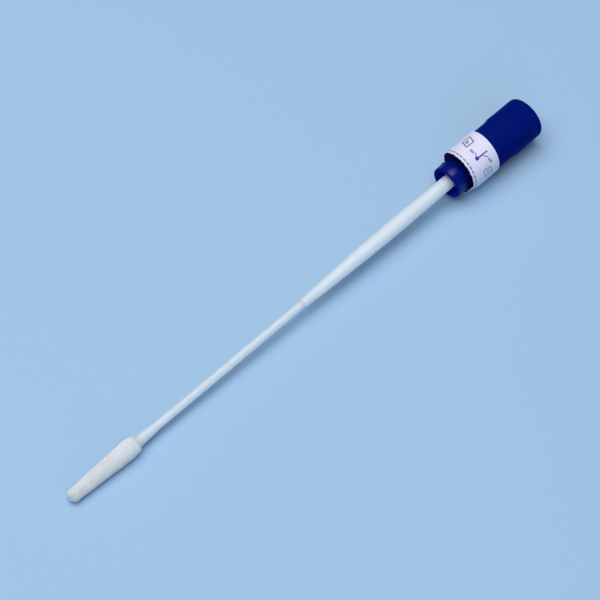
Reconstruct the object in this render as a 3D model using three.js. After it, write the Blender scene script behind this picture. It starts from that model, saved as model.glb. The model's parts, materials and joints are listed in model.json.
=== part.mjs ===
// A capped specimen swab: a flocked bud on a moulded shaft with a snap-off notch,
// held in a stopper cap that still carries its torn paper seal.
// It lies on a table, resting on its bud and on the front edge of the seal.
// Millimetres, +Z up, the cap towards +X, the origin under the middle of the footprint.

import * as THREE from 'three';

// ---- Sizes. Lengths run along the swab from the tip of the bud.

// Bud: nylon fibres on the end of the shaft.
const BUD_LENGTH = 23.0;
const BUD_TIP_RADIUS = 1.8; // where the rounded end turns into the taper
const BUD_TIP_ROUNDING = 1.5;
const BUD_BELLY_RADIUS = 2.62;
const BUD_SHOULDER_LENGTH = 3.2; // from the belly back to the shaft
const BUD_END_COVER = 0.9; // thickness of fibre over the end of the pin

// Shaft: pin inside the bud, flared neck, thin rod, notch, thick handle.
const PIN_TIP_RADIUS = 0.95;
const PIN_TIP_ROUNDING = 0.8;
const NECK_RADIUS = 1.7;
const NECK_LENGTH = 7.4;
const ROD_RADIUS = 1.16;
const ROD_LENGTH = 52.6; // from the neck to the notch
const NOTCH_RADIUS = 0.68;
const NOTCH_HALF_WIDTH = 0.8;
const HANDLE_START_RADIUS = 1.38;
const HANDLE_BELLY_RADIUS = 2.18;
const HANDLE_BELLY_DISTANCE = 35.5; // from the notch
const HANDLE_END_RADIUS = 2.0;
const HANDLE_LENGTH = 55.2; // from the notch to the mouth of the cap
const SHAFT_END_CHAMFER = 0.4;

// Cap: a sleeve that plugs the tube, a shoulder that stops on its rim, and a grip.
const PLUG_MOUTH_RADIUS = 4.82;
const PLUG_SWELL_RADIUS = 5.0; // the ring that seals in the tube
const PLUG_WALL = 0.92;
const PLUG_LENGTH = 6.0;
const PLUG_NECK_RADIUS = 4.55; // relieved behind the ring
const PLUG_NECK_LENGTH = 2.5;
const PLUG_NECK_SLOPE = 0.35;
const PLUG_RIM_ROUNDING = 0.38;
const BAND_RADIUS = 6.1; // the part that the seal is glued round
const BAND_LENGTH = 15.1;
const BAND_EDGE_CHAMFER = 0.25;
const GRIP_RADIUS = 6.32;
const GRIP_LENGTH = 11.45;
const GRIP_STEP_LENGTH = 1.3; // slope between band and grip
const GRIP_END_ROUNDING = 1.2;
const CAP_END_WALL = 2.0;
const SOCKET_WALL = 1.0; // post that the shaft is pressed into
const SOCKET_FLOOR = 3.6; // solid behind the end of the shaft
const SOCKET_DEPTH = 22.0; // how deep the post holds the shaft

// Seal: a strip of paper wrapped once round the cap, torn along its perforation.
const PAPER_THICKNESS = 0.15;
const SEAL_WIDTH = 9.97;
const SEAL_OVERHANG = 0.81; // how far the torn edge stands out past the shoulder
const SEAL_LAP = 3.0; // where the strip's end is glued over its start
const SEAL_LAP_RAMP = 1.2;
const SEAL_SKEW = 2.6; // how far the strip creeps towards the bud in one turn
const SEAL_START_ANGLE = THREE.MathUtils.degToRad(-157.5); // from the top, towards -Y
const TEAR_DEPTH = 0.28; // how far the tongues of paper stand out between the cuts

// Fits.
const GLUE_GAP = 0.06; // shaft in its socket, bud on its pin
const SEAL_GAP = 0.22; // paper off the band it is glued to
const LAP_GAP = 0.06; // paper off paper

// Facets.
const SIDES = 24; // flats round every turned piece, one of them facing down
const POINTS_PER_FLAT = 4; // of the seal
const ARC_STEPS = 5;
const SWEEP_STEPS = 8;

// ---- Places along the swab.

const budBellyAt = BUD_LENGTH - BUD_SHOULDER_LENGTH;
const rodStart = BUD_LENGTH + NECK_LENGTH;
const notchAt = rodStart + ROD_LENGTH;
const handleStart = notchAt + NOTCH_HALF_WIDTH;
const handleBellyAt = notchAt + HANDLE_BELLY_DISTANCE;
const capMouthAt = notchAt + HANDLE_LENGTH;
const shoulderAt = capMouthAt + PLUG_LENGTH;
const plugNeckAt = shoulderAt - PLUG_NECK_LENGTH;
const gripStart = shoulderAt + BAND_LENGTH;
const capEndAt = gripStart + GRIP_LENGTH;
const shaftEndAt = capEndAt - SOCKET_FLOOR;
const postMouthAt = shaftEndAt - SOCKET_DEPTH;
const sealFrontAt = shoulderAt - SEAL_OVERHANG;
const sealInnerRadius = BAND_RADIUS + SEAL_GAP;

// ---- Profiles: points (radius, place along the swab), outer skin towards the cap.

const at = (place, radius) => new THREE.Vector2(radius, place);

// Quarter of an ellipse that sets off straight across the axis and ends along it.
function swellTo(startPlace, startRadius, endPlace, endRadius) {
  return quarter((sine, cosine) => at(
    endPlace + (startPlace - endPlace) * cosine,
    startRadius + (endRadius - startRadius) * sine,
  ));
}

// Quarter of an ellipse that sets off along the axis and ends straight across it.
function roundOffTo(startPlace, startRadius, endPlace, endRadius) {
  return quarter((sine, cosine) => at(
    startPlace + (endPlace - startPlace) * sine,
    endRadius + (startRadius - endRadius) * cosine,
  ));
}

function quarter(pointAt) {
  const points = [];
  for (let step = 0; step <= ARC_STEPS; step += 1) {
    const angle = (step / ARC_STEPS) * (Math.PI / 2);
    points.push(pointAt(Math.sin(angle), Math.cos(angle)));
  }
  return points;
}

// Points of a smooth run between two places; shape(t) goes from 0 to 1.
function sweep(startPlace, startRadius, endPlace, endRadius, shape) {
  const points = [];
  for (let step = 0; step <= SWEEP_STEPS; step += 1) {
    const t = step / SWEEP_STEPS;
    const place = THREE.MathUtils.lerp(startPlace, endPlace, t);
    points.push(at(place, THREE.MathUtils.lerp(startRadius, endRadius, shape(t))));
  }
  return points;
}

const easeOut = (t) => Math.sin((t * Math.PI) / 2);
const easeInOut = (t) => (1 - Math.cos(t * Math.PI)) / 2;

const flatAngle = (2 * Math.PI) / SIDES;

// A piece turned about the swab's axis. Its flats stand at the profile's radius,
// its corners a little further out, and one flat faces straight down.
function turned(profile) {
  const geometry = new THREE.LatheGeometry(profile, SIDES, flatAngle / 2, 2 * Math.PI);
  const corner = 1 / Math.cos(flatAngle / 2);
  return geometry.scale(corner, 1, corner);
}

// ---- Shaft

function shaftProfile() {
  const handle = sweep(
    handleStart, HANDLE_START_RADIUS, handleBellyAt, HANDLE_BELLY_RADIUS, easeOut,
  );
  const handleEnd = sweep(
    handleBellyAt, HANDLE_BELLY_RADIUS, capMouthAt, HANDLE_END_RADIUS, easeInOut,
  );
  return [
    ...swellTo(BUD_END_COVER, 0, BUD_END_COVER + PIN_TIP_ROUNDING, PIN_TIP_RADIUS),
    at(budBellyAt, NECK_RADIUS),
    at(BUD_LENGTH, NECK_RADIUS),
    at(rodStart, ROD_RADIUS),
    at(notchAt - NOTCH_HALF_WIDTH, ROD_RADIUS),
    at(notchAt, NOTCH_RADIUS),
    ...handle,
    ...handleEnd.slice(1),
    at(shaftEndAt - SHAFT_END_CHAMFER, HANDLE_END_RADIUS),
    at(shaftEndAt, HANDLE_END_RADIUS - SHAFT_END_CHAMFER),
    at(shaftEndAt, 0),
  ];
}

// ---- Bud: its outside, then the bore that fits the pin, back to the tip.

function budProfile() {
  const boreTip = BUD_END_COVER - GLUE_GAP;
  const bore = swellTo(
    boreTip, 0, BUD_END_COVER + PIN_TIP_ROUNDING, PIN_TIP_RADIUS + GLUE_GAP,
  );
  return [
    ...swellTo(0, 0, BUD_TIP_ROUNDING, BUD_TIP_RADIUS),
    ...roundOffTo(budBellyAt, BUD_BELLY_RADIUS, BUD_LENGTH, NECK_RADIUS + GLUE_GAP),
    at(budBellyAt, NECK_RADIUS + GLUE_GAP),
    ...bore.reverse(),
  ];
}

// ---- Cap: from the floor of the socket, round its walls, to the closed end.

function capProfile() {
  const socketRadius = HANDLE_END_RADIUS + GLUE_GAP;
  const socketFloorAt = shaftEndAt + GLUE_GAP;
  const postRadius = socketRadius + SOCKET_WALL;
  const hollowRadius = PLUG_MOUTH_RADIUS - PLUG_WALL;
  const hollowEndAt = capEndAt - CAP_END_WALL;
  return [
    at(socketFloorAt, 0),
    at(socketFloorAt, socketRadius),
    at(postMouthAt, socketRadius),
    at(postMouthAt, postRadius),
    at(hollowEndAt, postRadius),
    at(hollowEndAt, hollowRadius),
    ...roundOffTo(
      capMouthAt + PLUG_RIM_ROUNDING, hollowRadius,
      capMouthAt, hollowRadius + PLUG_RIM_ROUNDING,
    ),
    ...swellTo(
      capMouthAt, PLUG_MOUTH_RADIUS - PLUG_RIM_ROUNDING,
      capMouthAt + PLUG_RIM_ROUNDING, PLUG_MOUTH_RADIUS,
    ),
    at(plugNeckAt - PLUG_NECK_SLOPE, PLUG_SWELL_RADIUS),
    at(plugNeckAt, PLUG_NECK_RADIUS),
    at(shoulderAt, PLUG_NECK_RADIUS),
    at(shoulderAt, BAND_RADIUS - BAND_EDGE_CHAMFER),
    at(shoulderAt + BAND_EDGE_CHAMFER, BAND_RADIUS),
    at(gripStart, BAND_RADIUS),
    at(gripStart + GRIP_STEP_LENGTH, GRIP_RADIUS),
    ...roundOffTo(
      capEndAt - GRIP_END_ROUNDING, GRIP_RADIUS,
      capEndAt, GRIP_RADIUS - GRIP_END_ROUNDING,
    ),
    at(capEndAt, 0),
  ];
}

// ---- Seal: a flat strip, wrapped round the flats of the cap.

const sealStep = flatAngle / POINTS_PER_FLAT;

// How far along the swab the strip has crept at an angle from the top.
function sealCreep(angle) {
  return -SEAL_SKEW * ((angle - SEAL_START_ANGLE) / (2 * Math.PI) - 0.5);
}

// Distance from the axis, at an angle from the top, to flats that stand at a radius.
function reachOfFlat(radius, angle) {
  const fromMiddle = angle - Math.round(angle / flatAngle) * flatAngle;
  return radius / Math.cos(fromMiddle);
}

function sealGeometry() {
  const startStep = Math.round(SEAL_START_ANGLE / sealStep);
  const turnSteps = SIDES * POINTS_PER_FLAT;
  const steps = turnSteps + Math.round(SEAL_LAP / (sealInnerRadius * sealStep));
  const strip = new THREE.BoxGeometry(steps, SEAL_WIDTH, PAPER_THICKNESS, steps, 1, 1);
  const points = strip.attributes.position;
  for (let i = 0; i < points.count; i += 1) {
    const step = Math.round(points.getX(i) + steps / 2);
    const across = points.getY(i) + SEAL_WIDTH / 2;
    const depth = points.getZ(i) + PAPER_THICKNESS / 2;
    const angle = (startStep + step) * sealStep;
    // The end of the strip climbs over its start.
    const toFullTurn = (turnSteps - step) * sealStep * sealInnerRadius;
    const climb = 1 - THREE.MathUtils.smoothstep(toFullTurn, 0, SEAL_LAP_RAMP);
    const lift = climb * (PAPER_THICKNESS + LAP_GAP);
    const radius = reachOfFlat(sealInnerRadius + lift + depth, angle);
    // Between the cuts of the perforation, a tongue of paper stands on each corner.
    const tongue = Math.sin((Math.PI * angle) / flatAngle) ** 2;
    const torn = across < SEAL_WIDTH / 2 ? TEAR_DEPTH * tongue : 0;
    const place = sealFrontAt + sealCreep(angle) + across - torn;
    points.setXYZ(i, radius * Math.sin(angle), place, radius * Math.cos(angle));
  }
  strip.computeVertexNormals();
  return strip;
}

// ---- Pieces

function piece(name, geometry, color, roughness) {
  const material = new THREE.MeshStandardMaterial({ color, roughness, metalness: 0 });
  const mesh = new THREE.Mesh(geometry, material);
  mesh.name = name;
  return mesh;
}

const swab = new THREE.Group();
swab.rotation.z = -Math.PI / 2; // the turned pieces' +Y axis to +X
swab.add(
  piece('bud', turned(budProfile()), 0xeff1f5, 0.95),
  piece('shaft', turned(shaftProfile()), 0xe8ecf2, 0.4),
  piece('cap', turned(capProfile()), 0x0a1a70, 0.35),
  piece('paper_seal', sealGeometry(), 0xebe8f6, 0.8),
);

// ---- At rest: on the bud's belly and on the tongues under the seal's torn edge.

const sealRestsAt = sealFrontAt + sealCreep(Math.PI) - TEAR_DEPTH;
const rise = sealInnerRadius + PAPER_THICKNESS - BUD_BELLY_RADIUS;
const restTilt = Math.atan2(rise, sealRestsAt - budBellyAt);

const lying = new THREE.Group();
lying.rotation.y = -restTilt;
lying.add(swab);

const group = new THREE.Group();
group.name = 'capped_specimen_swab';
group.add(lying);
group.updateMatrixWorld(true);

const box = new THREE.Box3().setFromObject(lying, true);
const middle = box.getCenter(new THREE.Vector3());
lying.position.set(-middle.x, -middle.y, -box.min.z);
group.updateMatrixWorld(true);

export default group;
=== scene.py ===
import json
import math
import random

import bpy
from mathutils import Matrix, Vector


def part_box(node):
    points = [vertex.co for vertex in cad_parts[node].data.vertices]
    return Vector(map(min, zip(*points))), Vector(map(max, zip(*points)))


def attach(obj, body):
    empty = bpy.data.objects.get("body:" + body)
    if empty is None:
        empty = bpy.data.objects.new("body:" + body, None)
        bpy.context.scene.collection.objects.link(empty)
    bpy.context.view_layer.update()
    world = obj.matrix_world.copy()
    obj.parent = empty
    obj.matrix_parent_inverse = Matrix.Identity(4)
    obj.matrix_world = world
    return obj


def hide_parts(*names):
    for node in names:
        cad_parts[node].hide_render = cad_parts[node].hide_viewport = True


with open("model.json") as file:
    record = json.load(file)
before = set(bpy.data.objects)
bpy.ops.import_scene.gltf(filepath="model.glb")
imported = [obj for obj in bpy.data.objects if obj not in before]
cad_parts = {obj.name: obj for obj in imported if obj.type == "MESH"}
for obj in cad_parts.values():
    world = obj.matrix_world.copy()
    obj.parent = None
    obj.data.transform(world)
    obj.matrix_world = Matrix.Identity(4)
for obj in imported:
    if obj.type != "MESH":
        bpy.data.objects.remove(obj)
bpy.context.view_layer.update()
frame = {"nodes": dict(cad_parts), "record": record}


# ---- Shaft ----------------------------------------------------------------------------
# One injection moulding in white polypropylene: a pin inside the bud, a flared neck, a
# thin rod, a notch all round where it is snapped off, a thick handle and the end that is
# pressed into the cap. The two halves of its mould leave a faint line down each side.

mounts = {mount["name"]: mount for mount in frame["record"]["mounts"]}
axis = Vector(mounts["cap_end"]["axis"])
cap_end = Vector(mounts["cap_end"]["pos_m"])
tip = cap_end - axis * (cap_end.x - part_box("bud")[0].x) / axis.x
rise = math.asin(axis.z)


def reach(node):
    """First and last place of a CAD node along the swab, from the tip of the bud."""
    places = [(vertex.co - tip).dot(axis) for vertex in frame["nodes"][node].data.vertices]
    return min(places), max(places)


def curve_out(start, start_radius, end, end_radius, steps=8):
    """Quarter of an ellipse that sets off across the swab and ends along it."""
    points = []
    for step in range(steps + 1):
        angle = math.pi / 2 * step / steps
        place = end + (start - end) * math.cos(angle)
        points.append((place, start_radius + (end_radius - start_radius) * math.sin(angle)))
    return points


def curve_in(start, start_radius, end, end_radius, steps=8):
    """Quarter of an ellipse that sets off along the swab and ends across it."""
    backwards = curve_out(end, end_radius, start, start_radius, steps)
    return backwards[::-1]


def swell(start, start_radius, end, end_radius, shape, steps=12):
    """A long run whose radius goes from one value to another; shape goes from 0 to 1."""
    points = []
    for step in range(steps + 1):
        t = step / steps
        radius = start_radius + (end_radius - start_radius) * shape(t)
        points.append((start + (end - start) * t, radius))
    return points


def ease_out(t):
    return math.sin(math.pi / 2 * t)


def ease_in_out(t):
    return (1 - math.cos(math.pi * t)) / 2


def extrude_rings(name, outline, sides):
    """Extrude a disc from point to point of an outline of (place, radius) along +X."""
    bpy.ops.object.select_all(action="DESELECT")
    place, radius = outline[0]
    bpy.ops.mesh.primitive_circle_add(
        vertices=sides,
        radius=radius,
        fill_type="NGON",
        location=(place, 0, 0),
        rotation=(0, math.pi / 2, 0),
    )
    piece = bpy.context.object
    piece.name = name
    piece.data.name = name
    bpy.ops.object.transform_apply(location=True, rotation=True, scale=True)
    bpy.ops.object.mode_set(mode="EDIT")
    bpy.ops.mesh.select_mode(type="FACE")
    bpy.ops.mesh.select_all(action="SELECT")
    for (start, start_radius), (end, end_radius) in zip(outline, outline[1:]):
        bpy.ops.mesh.extrude_region_move(TRANSFORM_OT_translate={"value": (end - start, 0, 0)})
        scale = end_radius / start_radius
        bpy.ops.transform.resize(value=(1, scale, scale), center_override=(end, 0, 0))
    bpy.ops.mesh.select_all(action="SELECT")
    bpy.ops.mesh.normals_make_consistent(inside=False)
    bpy.ops.object.mode_set(mode="OBJECT")
    return piece


def select_where(chosen):
    """Go into edit mode on the active piece, with only the chosen vertices selected."""
    bpy.ops.object.mode_set(mode="EDIT")
    bpy.ops.mesh.select_mode(type="VERT")
    bpy.ops.mesh.select_all(action="DESELECT")
    bpy.ops.object.mode_set(mode="OBJECT")
    for vertex in bpy.context.object.data.vertices:
        vertex.select = chosen(vertex.co)
    bpy.ops.object.mode_set(mode="EDIT")


def lay_down(piece):
    """Take a piece that is modelled along +X from the origin to the swab's place."""
    bpy.ops.object.select_all(action="DESELECT")
    piece.select_set(True)
    bpy.context.view_layer.objects.active = piece
    piece.rotation_euler = (0, -rise, 0)
    piece.location = tip
    bpy.ops.object.transform_apply(location=True, rotation=True, scale=True)


def dress(piece, node, material):
    """Give a piece its material, hang it on the root body, and hide its CAD node."""
    piece.data.materials.append(material)
    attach(piece, "root")
    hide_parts(node)


SHAFT_SIDES = 64
PIN_RADIUS = 0.00095
PIN_ROUNDING = 0.0008
NECK_RADIUS = 0.0017
NECK_LENGTH = 0.0074
NECK_INSIDE_BUD = 0.0024
ROD_RADIUS = 0.00116
ROD_LENGTH = 0.0526
ROD_STRAIGHT_END = 0.0004
NOTCH_RADIUS = 0.0007
NOTCH_FLOOR = 0.00006
NOTCH_HALF_WIDTH = 0.0008
HANDLE_START_RADIUS = 0.00138
HANDLE_STRAIGHT_START = 0.0003
HANDLE_BELLY_RADIUS = 0.00218
HANDLE_BELLY_DISTANCE = 0.0355
HANDLE_END_RADIUS = 0.002
SHAFT_END_CHAMFER = 0.0004
PARTING_LINE_RISE = 1.018

bud_start, bud_end = reach("bud")
shaft_start, shaft_end = reach("shaft")
cap_mouth, cap_closed_end = reach("cap")
rod_start = bud_end + NECK_LENGTH
notch = rod_start + ROD_LENGTH
handle_belly = notch + HANDLE_BELLY_DISTANCE

shaft_outline = [
    *curve_out(shaft_start, PIN_RADIUS * 0.1, shaft_start + PIN_ROUNDING, PIN_RADIUS),
    (bud_end - NECK_INSIDE_BUD, NECK_RADIUS),
    *swell(bud_end, NECK_RADIUS, rod_start, ROD_RADIUS, lambda t: t ** 0.9),
    (notch - NOTCH_HALF_WIDTH - ROD_STRAIGHT_END, ROD_RADIUS),
    *curve_in(notch - NOTCH_HALF_WIDTH, ROD_RADIUS, notch - NOTCH_FLOOR, NOTCH_RADIUS),
    *curve_out(notch + NOTCH_FLOOR, NOTCH_RADIUS, notch + NOTCH_HALF_WIDTH, HANDLE_START_RADIUS),
    *swell(
        notch + NOTCH_HALF_WIDTH + HANDLE_STRAIGHT_START, HANDLE_START_RADIUS,
        handle_belly, HANDLE_BELLY_RADIUS, ease_out,
    ),
    *swell(
        handle_belly, HANDLE_BELLY_RADIUS, cap_mouth, HANDLE_END_RADIUS, ease_in_out,
    )[1:],
    (shaft_end - SHAFT_END_CHAMFER, HANDLE_END_RADIUS),
    (shaft_end, HANDLE_END_RADIUS - SHAFT_END_CHAMFER),
]
shaft = extrude_rings("white_shaft", shaft_outline, SHAFT_SIDES)


def on_parting_line(at):
    at_side = abs(at.z) < abs(at.y) * 0.01
    return at_side and bud_end < at.x < cap_mouth + NECK_LENGTH


# The parting line: the rows of vertices at both sides stand out a little.
select_where(on_parting_line)
bpy.ops.transform.resize(value=(1, PARTING_LINE_RISE, 1), center_override=(0, 0, 0))
bpy.ops.object.mode_set(mode="OBJECT")
bpy.ops.object.shade_smooth_by_angle(angle=math.radians(32))
lay_down(shaft)


def place_node(tree, kind, inputs=None, **settings):
    """Add a shader node, and set or link its inputs."""
    node = tree.nodes.new(kind)
    for setting, value in settings.items():
        setattr(node, setting, value)
    for socket, value in (inputs or {}).items():
        if isinstance(value, bpy.types.NodeSocket):
            tree.links.new(value, node.inputs[socket])
        else:
            node.inputs[socket].default_value = value
    return node


def start_group(name, inputs, outputs):
    """A shader node group with named inputs (with their values) and outputs."""
    group = bpy.data.node_groups.new(name, "ShaderNodeTree")
    for socket, (kind, value) in inputs.items():
        made = group.interface.new_socket(name=socket, in_out="INPUT", socket_type=kind)
        if value is not None:
            made.default_value = value
    for socket in outputs:
        group.interface.new_socket(name=socket, in_out="OUTPUT", socket_type="NodeSocketFloat")
    return group, group.nodes.new("NodeGroupInput").outputs, group.nodes.new("NodeGroupOutput").inputs


def start_material(name):
    """A new material: its tree, its principled shader, and the place along the swab."""
    material = bpy.data.materials.new(name)
    material.use_nodes = True
    tree = material.node_tree
    shader = tree.nodes["Principled BSDF"]
    coordinates = place_node(tree, "ShaderNodeTexCoord")
    on_swab = place_node(
        tree, "ShaderNodeMapping", {"Vector": coordinates.outputs["Object"]},
        vector_type="TEXTURE",
    )
    on_swab.inputs["Location"].default_value = tip
    on_swab.inputs["Rotation"].default_value = (0, -rise, 0)
    return material, tree, shader, on_swab.outputs["Vector"]


# Moulded plastic: the grain that the steel of the mould leaves, and marks of the flow
# of the plastic, drawn out along the swab.
moulded_plastic, sockets, results = start_group(
    "moulded_plastic",
    {
        "Place": ("NodeSocketVector", None),
        "Grain Scale": ("NodeSocketFloat", 4000.0),
        "Flow Scale": ("NodeSocketFloat", 300.0),
    },
    ["Grain", "Flow"],
)
grain = place_node(
    moulded_plastic, "ShaderNodeTexNoise",
    {"Vector": sockets["Place"], "Scale": sockets["Grain Scale"], "Detail": 3.0},
)
drawn_out = place_node(
    moulded_plastic, "ShaderNodeMapping",
    {"Vector": sockets["Place"], "Scale": (0.08, 1.0, 1.0)},
)
flow = place_node(
    moulded_plastic, "ShaderNodeTexNoise",
    {"Vector": drawn_out.outputs["Vector"], "Scale": sockets["Flow Scale"], "Detail": 4.0},
)
moulded_plastic.links.new(grain.outputs["Fac"], results["Grain"])
moulded_plastic.links.new(flow.outputs["Fac"], results["Flow"])


def mix_colours(tree, mask, first, second):
    """Colour that goes from the first to the second as the mask goes from 0 to 1."""
    mix = place_node(tree, "ShaderNodeMix", {0: mask, 6: first, 7: second}, data_type="RGBA")
    return mix.outputs[2]


def map_mask(tree, mask, low, high):
    """Value that goes from low to high as the mask goes from 0.3 to 0.7."""
    span = {"Value": mask, "From Min": 0.3, "From Max": 0.7, "To Min": low, "To Max": high}
    return place_node(tree, "ShaderNodeMapRange", span).outputs["Result"]


WHITE_PLASTIC = (0.73, 0.805, 0.885, 1)
WHITE_PLASTIC_IN_FLOW_MARKS = (0.69, 0.77, 0.855, 1)

white_plastic, tree, shader, place = start_material("white_plastic")
marks = place_node(
    tree, "ShaderNodeGroup",
    {"Place": place, "Grain Scale": 5000.0, "Flow Scale": 500.0},
    node_tree=moulded_plastic,
)
streaks = map_mask(tree, marks.outputs["Flow"], 0.0, 1.0)
tone = mix_colours(tree, streaks, WHITE_PLASTIC, WHITE_PLASTIC_IN_FLOW_MARKS)
tree.links.new(tone, shader.inputs["Base Color"])
tree.links.new(map_mask(tree, marks.outputs["Grain"], 0.36, 0.5), shader.inputs["Roughness"])
skin = place_node(
    tree, "ShaderNodeBump",
    {"Height": marks.outputs["Grain"], "Strength": 0.3, "Distance": 0.00002},
)
tree.links.new(skin.outputs["Normal"], shader.inputs["Normal"])
shader.inputs["Subsurface Weight"].default_value = 1.0
shader.inputs["Subsurface Radius"].default_value = (1.0, 0.9, 0.8)
shader.inputs["Subsurface Scale"].default_value = 0.01
dress(shaft, "shaft", white_plastic)


# ---- Bud ------------------------------------------------------------------------------
# Short white nylon fibres, shot upright on to the glued end of the shaft. They stand so
# close that they look like velvet, a little lumpy, and on the table they are pressed flat.

BUD_SIDES = 96
FIBRE_LENGTH = 0.00016
FIBRE_GLUE_GAP = 0.00006
BUD_TIP_RADIUS = 0.0018
BUD_TIP_ROUNDING = 0.0015
BUD_BELLY_RADIUS = 0.00262
BUD_SHOULDER_LENGTH = 0.0032
BUD_RINGS = 84
BORE_END = 0.00084
BORE_ROUNDING_END = 0.0017
SKIN_UNEVENNESS = 0.00005
TUFT_INSET = 0.000035
TUFT_HEIGHT = 0.000144
TUFT_STIFFNESS = 0.6
LUMP_SIZE = 0.0011
LUMP_HEIGHT = 0.00016
PRESSED_FLAT_AT = 0.00002

bud_belly = bud_end - BUD_SHOULDER_LENGTH
root_radius = BUD_BELLY_RADIUS - FIBRE_LENGTH
bore_radius = NECK_RADIUS + FIBRE_GLUE_GAP
bud_outline = [
    *curve_out(
        bud_start + FIBRE_LENGTH, BUD_TIP_RADIUS * 0.08,
        bud_start + BUD_TIP_ROUNDING, BUD_TIP_RADIUS - FIBRE_LENGTH, 9,
    ),
    *swell(
        bud_start + BUD_TIP_ROUNDING, BUD_TIP_RADIUS - FIBRE_LENGTH,
        bud_belly, root_radius, lambda t: t, BUD_RINGS,
    )[1:],
    *curve_in(bud_belly, root_radius, bud_end - FIBRE_LENGTH, bore_radius, 14)[1:],
    (bud_belly, bore_radius),
    *curve_in(
        bud_start + BORE_ROUNDING_END, PIN_RADIUS + FIBRE_GLUE_GAP,
        bud_start + BORE_END, PIN_RADIUS * 0.1,
    ),
]
bud = extrude_rings("flocked_bud", bud_outline, BUD_SIDES)
bpy.ops.object.mode_set(mode="EDIT")
bpy.ops.mesh.select_all(action="DESELECT")
bpy.ops.object.mode_set(mode="OBJECT")
for face in bud.data.polygons:
    outwards = Vector((0, face.center.y, face.center.z)).normalized()
    face.select = face.normal.dot(outwards) > 0.02 or face.normal.x < -0.9
bpy.ops.object.mode_set(mode="EDIT")
bpy.ops.object.vertex_group_add()
bpy.ops.object.vertex_group_assign()
bpy.ops.transform.vertex_random(offset=SKIN_UNEVENNESS, seed=3)
bpy.ops.object.mode_set(mode="OBJECT")

# Lumps, where the fibres stand closer together.
lumps = bpy.data.textures.new("bud_lumps", "CLOUDS")
lumps.noise_scale = LUMP_SIZE
lumpy = bud.modifiers.new("lumps", "DISPLACE")
lumpy.texture = lumps
lumpy.vertex_group = bud.vertex_groups[0].name
lumpy.strength = LUMP_HEIGHT * 2
lumpy.mid_level = 0.5
bpy.ops.object.modifier_apply(modifier=lumpy.name)

# Tufts of fibre: every face of the skin is drawn out to a point.
bpy.ops.object.mode_set(mode="EDIT")
bpy.ops.mesh.inset(
    thickness=TUFT_INSET,
    depth=TUFT_HEIGHT,
    use_individual=True,
    use_even_offset=False,
)
bpy.ops.object.mode_set(mode="OBJECT")

# Each corner of a tuft has its own height and lean. The inset numbers its corners in
# another order each time, so they are taken by their place, and the bud is always alike.
ruffle = random.Random(8)
corners = sorted(
    (tuple(vertex.co), vertex.index, vertex.normal.copy())
    for vertex in bud.data.vertices if vertex.select
)
for place, index, outwards in corners:
    lean = Vector((ruffle.gauss(0, 1), ruffle.gauss(0, 1), ruffle.gauss(0, 1)))
    if lean.dot(outwards) < 0:
        outwards.negate()
    lean = lean.normalized().slerp(outwards, TUFT_STIFFNESS)
    bud.data.vertices[index].co += lean * TUFT_HEIGHT * ruffle.random()
bud.vertex_groups.clear()
lay_down(bud)
for vertex in bud.data.vertices:
    vertex.co.z = max(vertex.co.z, PRESSED_FLAT_AT)

FIBRES_LIT = (0.98, 0.99, 1.0, 1)
FIBRES_DEEP = (0.87, 0.91, 0.96, 1)

flock, tree, shader, place = start_material("white_flock")
clumps = place_node(tree, "ShaderNodeTexNoise", {"Vector": place, "Scale": 1600.0, "Detail": 4.0})
fibres = place_node(tree, "ShaderNodeTexNoise", {"Vector": place, "Scale": 5000.0, "Detail": 3.0})
tone = mix_colours(
    tree, map_mask(tree, clumps.outputs["Fac"], 0.0, 1.0), FIBRES_DEEP, FIBRES_LIT,
)
tree.links.new(tone, shader.inputs["Base Color"])
velvet = place_node(
    tree, "ShaderNodeBump",
    {"Height": fibres.outputs["Fac"], "Strength": 0.8, "Distance": 0.00009},
)
tree.links.new(velvet.outputs["Normal"], shader.inputs["Normal"])
shader.inputs["Roughness"].default_value = 0.95
shader.inputs["Sheen Weight"].default_value = 0.8
shader.inputs["Sheen Roughness"].default_value = 0.5
shader.inputs["Specular IOR Level"].default_value = 0.2
shader.inputs["Subsurface Weight"].default_value = 0.35
shader.inputs["Subsurface Radius"].default_value = (1.0, 0.95, 0.9)
shader.inputs["Subsurface Scale"].default_value = 0.0015
dress(bud, "bud", flock)


# ---- Cap ------------------------------------------------------------------------------
# One injection moulding in dark blue polyethylene. A hollow sleeve plugs the tube, its
# shoulder stops on the tube's rim, and a post inside holds the shaft. The gate of the
# mould leaves a small nub in a dimple in the middle of the closed end.

CAP_SIDES = 96
PLUG_MOUTH_RADIUS = 0.00482
PLUG_SWELL_RADIUS = 0.005
PLUG_WALL = 0.00092
PLUG_LENGTH = 0.006
PLUG_NECK_RADIUS = 0.00455
PLUG_NECK_LENGTH = 0.0025
PLUG_NECK_SLOPE = 0.00035
PLUG_RING_FILLET = 0.0006
PLUG_RIM_ROUNDING = 0.00038
BAND_RADIUS = 0.0061
BAND_LENGTH = 0.0151
GRIP_RADIUS = 0.00632
GRIP_STEP_LENGTH = 0.0013
GRIP_END_ROUNDING = 0.0012
GRIP_LIP = 0.00006
CAP_END_WALL = 0.002
SOCKET_GAP = 0.00006
SOCKET_WALL = 0.001
SOCKET_LEAD = 0.0003
SOCKET_DEPTH = 0.022
GATE_NUB_RADIUS = 0.0006
GATE_NUB_HEIGHT = 0.00014
GATE_DIMPLE_RADIUS = 0.0017
GATE_DIMPLE_DEPTH = 0.00022
EDGE_ROUNDING = 0.00012

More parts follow.
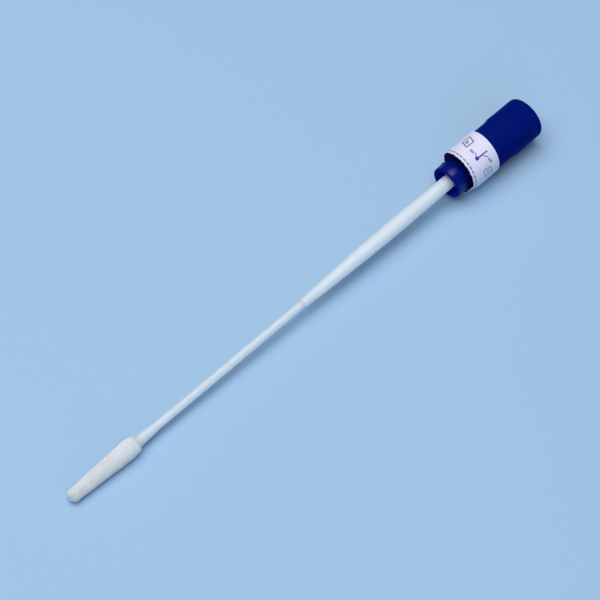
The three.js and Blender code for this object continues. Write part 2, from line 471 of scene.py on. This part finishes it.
shoulder = cap_mouth + PLUG_LENGTH
plug_neck = shoulder - PLUG_NECK_LENGTH
plug_ring_end = plug_neck + PLUG_RING_FILLET
grip_start = shoulder + BAND_LENGTH
hollow_radius = PLUG_MOUTH_RADIUS - PLUG_WALL
socket_radius = HANDLE_END_RADIUS + SOCKET_GAP
post_mouth = shaft_end - SOCKET_DEPTH
dimple_floor = cap_closed_end - GATE_DIMPLE_DEPTH
cap_outline = [
    (dimple_floor + GATE_NUB_HEIGHT, GATE_NUB_RADIUS * 0.3),
    (dimple_floor + GATE_NUB_HEIGHT, GATE_NUB_RADIUS * 0.85),
    (dimple_floor, GATE_NUB_RADIUS),
    (dimple_floor, GATE_DIMPLE_RADIUS),
    (cap_closed_end, GATE_DIMPLE_RADIUS + GATE_DIMPLE_DEPTH),
    *curve_out(
        cap_closed_end, GRIP_RADIUS - GRIP_END_ROUNDING,
        cap_closed_end - GRIP_END_ROUNDING, GRIP_RADIUS, 10,
    ),
    (grip_start + GRIP_STEP_LENGTH * 3, GRIP_RADIUS),
    (grip_start + GRIP_STEP_LENGTH, GRIP_RADIUS + GRIP_LIP),
    (grip_start, BAND_RADIUS),
    (shoulder, BAND_RADIUS),
    (shoulder, PLUG_NECK_RADIUS + EDGE_ROUNDING),
    (shoulder - EDGE_ROUNDING, PLUG_NECK_RADIUS),
    *curve_out(
        plug_ring_end, PLUG_NECK_RADIUS,
        plug_neck - PLUG_NECK_SLOPE, PLUG_SWELL_RADIUS, 6,
    ),
    *curve_in(
        cap_mouth + PLUG_RIM_ROUNDING, PLUG_MOUTH_RADIUS,
        cap_mouth, PLUG_MOUTH_RADIUS - PLUG_RIM_ROUNDING, 6,
    ),
    *curve_out(
        cap_mouth, hollow_radius + PLUG_RIM_ROUNDING,
        cap_mouth + PLUG_RIM_ROUNDING, hollow_radius, 6,
    ),
    (cap_closed_end - CAP_END_WALL, hollow_radius),
    (cap_closed_end - CAP_END_WALL, socket_radius + SOCKET_WALL),
    (post_mouth, socket_radius + SOCKET_WALL),
    (post_mouth, socket_radius + SOCKET_LEAD),
    (post_mouth + SOCKET_LEAD, socket_radius),
    (shaft_end + SOCKET_GAP, socket_radius),
]
cap = extrude_rings("blue_cap", cap_outline, CAP_SIDES)
rounding = cap.modifiers.new("moulded_edges", "BEVEL")
rounding.limit_method = "ANGLE"
rounding.angle_limit = math.radians(38)
rounding.width = EDGE_ROUNDING
rounding.segments = 3
bpy.ops.object.modifier_apply(modifier=rounding.name)
bpy.ops.object.shade_smooth_by_angle(angle=math.radians(32))
lay_down(cap)

CAP_BLUE = (0.0002, 0.0085, 0.168, 1)
CAP_BLUE_IN_FLOW_MARKS = (0.0002, 0.007, 0.152, 1)
CAP_SCUFF = (0.004, 0.022, 0.22, 1)

# Painted light: the sleeve's brighter blue and the glow inside it stand for daylight through its thin
# wall.
PLUG_BLUE_PAINTED_LIGHT = (0.0002, 0.0075, 0.178, 1)
# Painted shade: the relieved neck of the plug is painted nearly black.
NECK_PAINTED_SHADE = (0.0002, 0.0025, 0.07, 1)
NECK_PAINTED_SHADE_FADES_IN = 0.0018
PLUG_PAINTED_GLOW = (0.002, 0.006, 0.54, 1)
PLUG_PAINTED_GLOW_NEAR_SIDE = (0.001, 0.028, 0.7, 1)
PAINTED_GLOW_AT_MOUTH = 0.35
PLUG_SHINE = 0.5
PLUG_SHINE_STARTS = (0.0003, 0.0009)
PLUG_SHINE_ENDS = (0.0014, 0.0034)


def calculate(tree, operation, first, second=0.0):
    return place_node(tree, "ShaderNodeMath", {0: first, 1: second}, operation=operation).outputs[0]


blue_plastic, tree, shader, place = start_material("blue_plastic")
marks = place_node(
    tree, "ShaderNodeGroup",
    {"Place": place, "Grain Scale": 3000.0, "Flow Scale": 260.0},
    node_tree=moulded_plastic,
)
streaks = map_mask(tree, marks.outputs["Flow"], 0.0, 1.0)
tone = mix_colours(tree, streaks, CAP_BLUE, CAP_BLUE_IN_FLOW_MARKS)
scratches = place_node(
    tree, "ShaderNodeMapping", {"Vector": place, "Scale": (0.35, 1.0, 1.0), "Rotation": (0, 0, 0.5)},
)
rubbing = place_node(
    tree, "ShaderNodeTexNoise",
    {"Vector": scratches.outputs["Vector"], "Scale": 900.0, "Detail": 6.0},
)
scuffs = place_node(
    tree, "ShaderNodeMapRange",
    {"Value": rubbing.outputs["Fac"], "From Min": 0.63, "From Max": 0.78, "To Max": 0.5},
)
tone = mix_colours(tree, scuffs.outputs["Result"], tone, CAP_SCUFF)
on_cap = place_node(tree, "ShaderNodeSeparateXYZ", {0: place})
from_axis = calculate(
    tree, "SQRT",
    calculate(
        tree, "ADD",
        calculate(tree, "MULTIPLY", on_cap.outputs["Y"], on_cap.outputs["Y"]),
        calculate(tree, "MULTIPLY", on_cap.outputs["Z"], on_cap.outputs["Z"]),
    ),
)
# Painted light: daylight comes through the thin sleeve, so it is painted a brighter blue,
# and inside it a painted glow, weakest at the mouth and brighter on the near side. No light
# comes through behind it, so the relieved neck is painted nearly black as painted shade.
on_sleeve = calculate(tree, "LESS_THAN", on_cap.outputs["X"], plug_ring_end)
tone = mix_colours(tree, on_sleeve, tone, PLUG_BLUE_PAINTED_LIGHT)
# Painted shade on the relieved neck, fading in over the ring before it, up to the shoulder.
behind_ring = place_node(
    tree, "ShaderNodeMapRange",
    {
        "Value": on_cap.outputs["X"],
        "From Min": plug_ring_end - NECK_PAINTED_SHADE_FADES_IN, "From Max": plug_ring_end + PLUG_RING_FILLET,
        "To Min": 0.0, "To Max": 1.0,
    },
)
before_shoulder = calculate(tree, "LESS_THAN", on_cap.outputs["X"], shoulder + EDGE_ROUNDING)
neck_painted_shade = calculate(tree, "MULTIPLY", behind_ring.outputs["Result"], before_shoulder)
tone = mix_colours(tree, neck_painted_shade, tone, NECK_PAINTED_SHADE)
# Painted glow inside the hollow of the sleeve, weakest at the mouth and brighter on the near side.
inside = calculate(tree, "LESS_THAN", from_axis, hollow_radius + PLUG_RIM_ROUNDING / 4)
lit_through = place_node(
    tree, "ShaderNodeMapRange",
    {
        "Value": on_cap.outputs["X"], "From Min": cap_mouth, "From Max": plug_neck,
        "To Min": PAINTED_GLOW_AT_MOUTH, "To Max": 1.0,
    },
)
near_side = place_node(
    tree, "ShaderNodeMapRange",
    {
        "Value": on_cap.outputs["Y"], "From Min": hollow_radius / 4, "From Max": -hollow_radius,
        "To Min": 0.0, "To Max": 1.0,
    },
)
painted_glow_inside = mix_colours(
    tree, near_side.outputs["Result"], PLUG_PAINTED_GLOW, PLUG_PAINTED_GLOW_NEAR_SIDE,
)
glow = calculate(tree, "MULTIPLY", inside, lit_through.outputs["Result"])
tone = mix_colours(tree, glow, tone, painted_glow_inside)
tree.links.new(tone, shader.inputs["Base Color"])
tree.links.new(map_mask(tree, marks.outputs["Grain"], 0.5, 0.62), shader.inputs["Roughness"])

# The front of the sleeve is rubbed smooth by the tube, and is glossier than the rest.
from_mouth = calculate(tree, "SUBTRACT", on_cap.outputs["X"], cap_mouth)
shine_starts = place_node(
    tree, "ShaderNodeMapRange",
    {
        "Value": from_mouth,
        "From Min": PLUG_SHINE_STARTS[0], "From Max": PLUG_SHINE_STARTS[1],
        "To Min": 0.0, "To Max": PLUG_SHINE,
    },
)
shine_ends = place_node(
    tree, "ShaderNodeMapRange",
    {
        "Value": from_mouth,
        "From Min": PLUG_SHINE_ENDS[0], "From Max": PLUG_SHINE_ENDS[1],
        "To Min": 1.0, "To Max": 0.0,
    },
)
coat = calculate(tree, "MULTIPLY", shine_starts.outputs["Result"], shine_ends.outputs["Result"])
tree.links.new(coat, shader.inputs["Coat Weight"])
shader.inputs["Coat Roughness"].default_value = 0.2
skin = place_node(
    tree, "ShaderNodeBump",
    {"Height": marks.outputs["Grain"], "Strength": 0.35, "Distance": 0.00003},
)
tree.links.new(skin.outputs["Normal"], shader.inputs["Normal"])
shader.inputs["Specular IOR Level"].default_value = 0.015
shader.inputs["Subsurface Weight"].default_value = 0.4
shader.inputs["Subsurface Radius"].default_value = (0.05, 0.15, 1.0)
shader.inputs["Subsurface Scale"].default_value = 0.0015
dress(cap, "cap", blue_plastic)


# ---- Paper seal -----------------------------------------------------------------------
# A strip of white coated paper, wrapped once round the cap and glued, with its end over
# its start. It joined cap and tube until it was torn along its perforation, so its front
# edge is a row of ragged tongues past the shoulder. Its print is plain marks.

PAPER_THICKNESS = 0.00015
SEAL_WIDTH = 0.00997
SEAL_OVERHANG = 0.00081
SEAL_GAP = 0.00022
SEAL_LAP = 0.003
SEAL_LAP_RAMP = 0.0012
SEAL_LAP_GAP = 0.00006
SEAL_SKEW = 0.0026
SEAL_START_ANGLE = math.radians(-157.5)
SEAL_SLACK = 0.00014
SEAL_SLACK_SIDE = math.radians(-65)
TEAR_DEPTH = 0.00028
TEAR_UNEVENNESS = 0.00004
ON_EDGE = 0.00001
NEAR_EDGE = 0.00005
PULLED_HALF_WIDTH = 0.0005
TONGUES = 66
CELLS_PER_TONGUE = 6
CELLS_ACROSS = 40
MM = 1000

paper_radius = BAND_RADIUS + SEAL_GAP
turn_length = 2 * math.pi * paper_radius
strip_length = turn_length + SEAL_LAP
tear_line = -SEAL_WIDTH / 2

# The flat strip: X is across it, from the torn edge, and Z along it, outer face to -Y.
bpy.ops.object.select_all(action="DESELECT")
bpy.ops.mesh.primitive_grid_add(
    x_subdivisions=CELLS_ACROSS,
    y_subdivisions=TONGUES * CELLS_PER_TONGUE,
    size=1,
    rotation=(math.pi / 2, 0, 0),
)
seal = bpy.context.object
seal.name = "torn_paper_seal"
seal.data.name = "torn_paper_seal"
bpy.ops.object.transform_apply(location=True, rotation=True, scale=True)
bpy.ops.object.mode_set(mode="EDIT")
bpy.ops.mesh.select_all(action="SELECT")
bpy.ops.transform.resize(value=(SEAL_WIDTH, 1, strip_length), center_override=(0, 0, 0))
bpy.ops.object.mode_set(mode="OBJECT")
strip_uv = seal.data.uv_layers.active.data
for loop in seal.data.loops:
    flat = seal.data.vertices[loop.vertex_index].co
    run = strip_length / 2 - flat.z
    strip_uv[loop.index].uv = (run * MM, (flat.x - tear_line) * MM)


def move_where(chosen, by, falloff="SHARP", radius=0.0):
    """Move the chosen vertices of the active piece, with those near them if a radius is given."""
    select_where(chosen)
    bpy.ops.transform.translate(
        value=by,
        use_proportional_edit=radius > 0,
        proportional_edit_falloff=falloff,
        proportional_size=max(radius, 0.0001),
    )
    bpy.ops.object.mode_set(mode="OBJECT")


# Each tongue of paper stands out by its own amount between the cuts of the perforation.
tear = random.Random(5)
pitch = strip_length / TONGUES
for tongue in range(TONGUES):
    middle = -strip_length / 2 + (tongue + 0.5 + tear.uniform(-0.15, 0.15)) * pitch
    depth = TEAR_DEPTH * tear.uniform(0.35, 1.0)
    move_where(
        lambda at: at.x < tear_line + ON_EDGE and abs(at.z - middle) < pitch * 0.12,
        (-depth, 0, 0), "SMOOTH", pitch * 0.45,
    )


def run_to(angle):
    """Run along the strip, from its start, to an angle from the top of the cap."""
    return paper_radius * (math.radians(angle) - SEAL_START_ANGLE)


def height_at(run):
    return strip_length / 2 - run


# The torn edge stands off here and there, where it was pulled: angle, lift and radius.
FLARES = [(-62, 0.00008, 0.0026), (28, 0.00005, 0.002), (-110, 0.0001, 0.002)]
for angle, lift, radius in FLARES:
    height = height_at(run_to(angle))
    move_where(
        lambda at: at.x < tear_line + NEAR_EDGE and abs(at.z - height) < PULLED_HALF_WIDTH,
        (0, -lift, 0), "SMOOTH", radius,
    )

# Low on the side, where it was torn last, the edge is shorter and bent in to the plug:
# angle, how much shorter, how far in, and radius.
TORN_SHORT = [(104, 0.0003, 0.00035, 0.0016), (122, 0.0006, 0.0006, 0.0024)]
for angle, shorter, bent, radius in TORN_SHORT:
    height = height_at(run_to(angle))
    move_where(
        lambda at: at.x < tear_line + NEAR_EDGE and abs(at.z - height) < PULLED_HALF_WIDTH,
        (shorter, bent, 0), "SMOOTH", radius,
    )

# The end of the strip climbs over its start.
lap_start = height_at(turn_length - SEAL_LAP_RAMP * 0.5)
move_where(
    lambda at: at.z < lap_start - SEAL_LAP_RAMP * 0.5,
    (0, -PAPER_THICKNESS - SEAL_LAP_GAP, 0), "SMOOTH", SEAL_LAP_RAMP,
)

# The torn edge itself is a little ragged.
select_where(lambda at: at.x < tear_line + ON_EDGE)
bpy.ops.transform.vertex_random(offset=TEAR_UNEVENNESS, seed=11)
bpy.ops.object.mode_set(mode="OBJECT")

# It is wrapped a little askew, so it creeps towards the bud as it goes round.
askew = math.atan(SEAL_SKEW / turn_length)
seal.rotation_euler = (0, askew, 0)
seal.location = (-SEAL_LAP / 2 * math.sin(askew), 0, 0)
bpy.ops.object.transform_apply(location=True, rotation=True, scale=True)

sheet = seal.modifiers.new("sheet", "SOLIDIFY")
sheet.thickness = PAPER_THICKNESS
sheet.offset = 1
bpy.ops.object.modifier_apply(modifier=sheet.name)
PRINTED_SIDE = 0
BARE_SIDE = 1
for face in seal.data.polygons:
    face.material_index = BARE_SIDE if face.normal.y > 0.6 else PRINTED_SIDE

heights = [vertex.co.z for vertex in seal.data.vertices]
wrap = seal.modifiers.new("wrap", "SIMPLE_DEFORM")
wrap.deform_method = "BEND"
wrap.deform_axis = "X"
wrap.angle = (max(heights) - min(heights)) / paper_radius
bpy.ops.object.modifier_apply(modifier=wrap.name)
seal.location = (0, -paper_radius, 0)
bpy.ops.object.transform_apply(location=True, rotation=True, scale=True)
seal.rotation_euler = (strip_length / 2 / paper_radius + SEAL_START_ANGLE - math.pi / 2, 0, 0)
seal.location = (
    shoulder - SEAL_OVERHANG + SEAL_WIDTH / 2,
    -SEAL_SLACK * math.sin(SEAL_SLACK_SIDE),
    SEAL_SLACK * math.cos(SEAL_SLACK_SIDE),
)
bpy.ops.object.transform_apply(location=True, rotation=True, scale=True)
bpy.ops.object.shade_smooth_by_angle(angle=math.radians(40))
lay_down(seal)

# Paper: fibres, a cloudy look through and a little grain.
paper_fibre, sockets, results = start_group(
    "paper_fibre",
    {"Place": ("NodeSocketVector", None), "Scale": ("NodeSocketFloat", 1500.0)},
    ["Fibre", "Cloud"],
)
fibre = place_node(
    paper_fibre, "ShaderNodeTexNoise",
    {"Vector": sockets["Place"], "Scale": sockets["Scale"], "Detail": 5.0, "Distortion": 1.5},
)
cloud_scale = place_node(
    paper_fibre, "ShaderNodeMath", {0: sockets["Scale"], 1: 0.25}, operation="MULTIPLY",
)
cloud = place_node(
    paper_fibre, "ShaderNodeTexNoise",
    {"Vector": sockets["Place"], "Scale": cloud_scale.outputs[0], "Detail": 3.0},
)
paper_fibre.links.new(fibre.outputs["Fac"], results["Fibre"])
paper_fibre.links.new(cloud.outputs["Fac"], results["Cloud"])

# A printed box, in millimetres along and across the strip: filled, or only its outline.
printed_box, sockets, results = start_group(
    "printed_box",
    {
        "Sheet": ("NodeSocketVector", None),
        "Run": ("NodeSocketFloat", 0.0),
        "Across": ("NodeSocketFloat", 0.0),
        "Length": ("NodeSocketFloat", 1.0),
        "Width": ("NodeSocketFloat", 1.0),
        "Line": ("NodeSocketFloat", 0.15),
        "Slant": ("NodeSocketFloat", 0.0),
    },
    ["Fill", "Outline"],
)
on_sheet = place_node(printed_box, "ShaderNodeSeparateXYZ", {0: sockets["Sheet"]})
run_offset = calculate(printed_box, "SUBTRACT", on_sheet.outputs["X"], sockets["Run"])
across_offset = calculate(printed_box, "SUBTRACT", on_sheet.outputs["Y"], sockets["Across"])
slanted = calculate(printed_box, "MULTIPLY", run_offset, sockets["Slant"])
across_offset = calculate(printed_box, "SUBTRACT", across_offset, slanted)
outside = []
for offset, size in ((run_offset, "Length"), (across_offset, "Width")):
    from_middle = calculate(printed_box, "ABSOLUTE", offset)
    half = calculate(printed_box, "MULTIPLY", sockets[size], 0.5)
    outside.append(calculate(printed_box, "SUBTRACT", from_middle, half))
from_edge = calculate(printed_box, "MAXIMUM", *outside)
fill = calculate(printed_box, "LESS_THAN", from_edge, 0.0)
printed_box.links.new(fill, results["Fill"])
half_line = calculate(printed_box, "MULTIPLY", sockets["Line"], 0.5)
on_line = calculate(printed_box, "LESS_THAN", calculate(printed_box, "ABSOLUTE", from_edge), half_line)
printed_box.links.new(on_line, results["Outline"])

PAPER = (0.775, 0.755, 0.95, 1)
PAPER_CLOUD = (0.735, 0.715, 0.91, 1)
# Painted shade: the back of the white paper is painted dark navy for the shade in the gap between
# paper and plug.
PAPER_BACK_PAINTED_SHADE = (0.08, 0.09, 0.18, 1)
PAPER_BACK_PAINTED_SHADE_CLOUD = (0.06, 0.07, 0.15, 1)
GREY_INK = (0.065, 0.06, 0.14, 1)
BLUE_INK = (0.025, 0.028, 0.15, 1)
VIOLET_INK = (0.03, 0.012, 0.24, 1)
GREEN_INK = (0.20, 0.30, 0.38, 1)


def start_paper(name, lit, cloudy):
    """Material of the seal's paper, with its fibres; it returns the colour to print on."""
    material, tree, shader, place = start_material(name)
    fibres = place_node(
        tree, "ShaderNodeGroup", {"Place": place, "Scale": 1500.0}, node_tree=paper_fibre,
    )
    clouds = map_mask(tree, fibres.outputs["Cloud"], 0.0, 1.0)
    colour = mix_colours(tree, clouds, lit, cloudy)
    relief = place_node(
        tree, "ShaderNodeBump",
        {"Height": fibres.outputs["Fibre"], "Strength": 0.35, "Distance": 0.00003},
    )
    tree.links.new(relief.outputs["Normal"], shader.inputs["Normal"])
    shader.inputs["Roughness"].default_value = 0.72
    return material, tree, shader, colour


printed_paper, tree, shader, colour = start_paper("printed_paper", PAPER, PAPER_CLOUD)
sheet_place = place_node(tree, "ShaderNodeUVMap", uv_map=seal.data.uv_layers.active.name).outputs["UV"]


def print_box(colour, ink, part, run, across, length, width, slant=0.0):
    """Print a filled or outlined box on the paper's colour."""
    box = place_node(
        tree, "ShaderNodeGroup",
        {
            "Sheet": sheet_place, "Run": run, "Across": across,
            "Length": length, "Width": width, "Line": PRINT_LINE, "Slant": slant,
        },
        node_tree=printed_box,
    )
    return mix_colours(tree, box.outputs[part], colour, ink)


PRINT_LINE = 0.3
SMALL_LINE_PITCH = 0.5

# A square box with two bars in it.
square = run_to(-25.5) * MM
colour = print_box(colour, BLUE_INK, "Outline", square, 5.8, 2.75, 2.75, -0.3)
colour = print_box(colour, BLUE_INK, "Fill", square - 0.3, 5.6, 0.42, 1.35, -0.3)
colour = print_box(colour, BLUE_INK, "Fill", square + 0.35, 5.3, 0.36, 0.8, -0.3)

# Two columns of small lines.
for angle, across, slant in ((6.2, 4.2, 0.0), (51.0, 7.25, 0.31)):
    for line in (-1, 0, 1):
        run = run_to(angle) * MM + line * SMALL_LINE_PITCH
        across_here = across + slant * line * SMALL_LINE_PITCH
        colour = print_box(colour, GREY_INK, "Fill", run, across_here, 0.3, 0.8, slant)

# A bar that thins out, with a slanted stroke on each side of it.
bar = run_to(28) * MM
colour = print_box(colour, VIOLET_INK, "Fill", bar, 3.95, 1.0, 1.05)
colour = print_box(colour, VIOLET_INK, "Fill", bar, 5.1, 0.42, 1.4)
colour = print_box(colour, GREY_INK, "Fill", bar - 0.1, 6.85, 0.36, 2.1)
colour = print_box(colour, VIOLET_INK, "Fill", bar - 1.0, 4.3, 1.0, 0.3, -0.73)
colour = print_box(colour, GREY_INK, "Fill", bar + 0.7, 6.45, 1.3, 0.34, 1.08)

# A pale rectangle with short lines in it.
rectangle = run_to(75.5) * MM
colour = print_box(colour, GREEN_INK, "Outline", rectangle, 5.55, 2.4, 2.6, 0.2)
for step in (-0.6, 0.0, 0.6):
    colour = print_box(colour, GREEN_INK, "Fill", rectangle + step, 5.55 + step * 0.2, 0.26, 1.3, 0.2)

# The dashed line that shows where to tear.
DASH_PITCH = 1.4
DASH_SHARE = 0.74
DASH_LINE = 0.74
DASH_HALF_WIDTH = 0.16
tear_mark = place_node(tree, "ShaderNodeSeparateXYZ", {0: sheet_place})
dash_run = calculate(tree, "FRACT", calculate(tree, "DIVIDE", tear_mark.outputs["X"], DASH_PITCH))
dash = calculate(tree, "LESS_THAN", dash_run, DASH_SHARE)
from_line = calculate(tree, "ABSOLUTE", calculate(tree, "SUBTRACT", tear_mark.outputs["Y"], DASH_LINE))
dashes = calculate(tree, "MULTIPLY", dash, calculate(tree, "LESS_THAN", from_line, DASH_HALF_WIDTH))
colour = mix_colours(tree, dashes, colour, BLUE_INK)
tree.links.new(colour, shader.inputs["Base Color"])

# The inner face of the seal gets the dark navy painted shade.
paper_back_painted_shade, tree, shader, colour = start_paper("paper_back_painted_shade", PAPER_BACK_PAINTED_SHADE, PAPER_BACK_PAINTED_SHADE_CLOUD)
tree.links.new(colour, shader.inputs["Base Color"])

dress(seal, "paper_seal", printed_paper)
seal.data.materials.append(paper_back_painted_shade)


# ---- Table, lamps and camera ----------------------------------------------------------
# The swab lies on a plain pale table under one large soft lamp, a little to its far side,
# with a weaker one low on the near side.
# The camera looks down on it from a long way off, past the bud.

TABLE_SIZE = 6
TABLE_BLUE = (0.36, 0.54, 0.75, 1)

bpy.ops.object.select_all(action="DESELECT")
bpy.ops.mesh.primitive_plane_add(size=TABLE_SIZE, location=(0, 0, 0))
table = bpy.context.object
table.name = "table"
table_top = bpy.data.materials.new("table_top")
table_top.use_nodes = True
table_shader = table_top.node_tree.nodes["Principled BSDF"]
table_shader.inputs["Base Color"].default_value = TABLE_BLUE
table_shader.inputs["Roughness"].default_value = 0.9
table_shader.inputs["Specular IOR Level"].default_value = 0.1
table.data.materials.append(table_top)

LAMP_SIZE = 1.0
LAMP_ENERGY = 10.5
LAMP_HEIGHT = 0.9
LAMP_LEAN_ASIDE = math.radians(7)
LAMP_LEAN_TO_BUD = math.radians(5)
lamp_place = Vector((-math.tan(LAMP_LEAN_TO_BUD), math.tan(LAMP_LEAN_ASIDE), 1)) * LAMP_HEIGHT
bpy.ops.object.light_add(
    type="AREA",
    location=lamp_place,
    rotation=lamp_place.to_track_quat("Z", "Y").to_euler(),
)
lamp = bpy.context.object
lamp.data.size = LAMP_SIZE
lamp.data.energy = LAMP_ENERGY

# A weak bluish light from low on the near side stands in for what the room throws back.
FILL_PLACE = Vector((-0.3, -0.75, 0.45))
FILL_SIZE = 0.8
FILL_ENERGY = 2.2
FILL_COLOUR = (0.6, 0.82, 1.0)
bpy.ops.object.light_add(
    type="AREA",
    location=FILL_PLACE,
    rotation=FILL_PLACE.to_track_quat("Z", "Y").to_euler(),
)
fill_lamp = bpy.context.object
fill_lamp.data.size = FILL_SIZE
fill_lamp.data.energy = FILL_ENERGY
fill_lamp.data.color = FILL_COLOUR

world = bpy.data.worlds.new("soft_room")
bpy.context.scene.world = world
world.use_nodes = True
sky = world.node_tree.nodes["Background"]
sky.inputs["Color"].default_value = (0.95, 0.97, 1.0, 1)
sky.inputs["Strength"].default_value = 0.03

CAMERA_HEADING = math.radians(46.06)
CAMERA_ELEVATION = math.radians(57.5)
CAMERA_DISTANCE = 0.6443
CAMERA_LENS = 144
AIM_BEFORE_NOTCH = 0.0001
AIM_LEFT = 0.00054
AIM_UP = 0.00112
forward = Vector((
    math.cos(CAMERA_HEADING) * math.cos(CAMERA_ELEVATION),
    math.sin(CAMERA_HEADING) * math.cos(CAMERA_ELEVATION),
    -math.sin(CAMERA_ELEVATION),
))
right = forward.cross(Vector((0, 0, 1))).normalized()
up = right.cross(forward)
target = tip + axis * (notch - AIM_BEFORE_NOTCH) - right * AIM_LEFT + up * AIM_UP
bpy.ops.object.camera_add(
    location=target - forward * CAMERA_DISTANCE,
    rotation=forward.to_track_quat("-Z", "Y").to_euler(),
)
camera = bpy.context.object
camera.data.lens = CAMERA_LENS
camera.data.sensor_width = 36
bpy.context.scene.camera = camera
bpy.context.scene.view_settings.view_transform = "Standard"
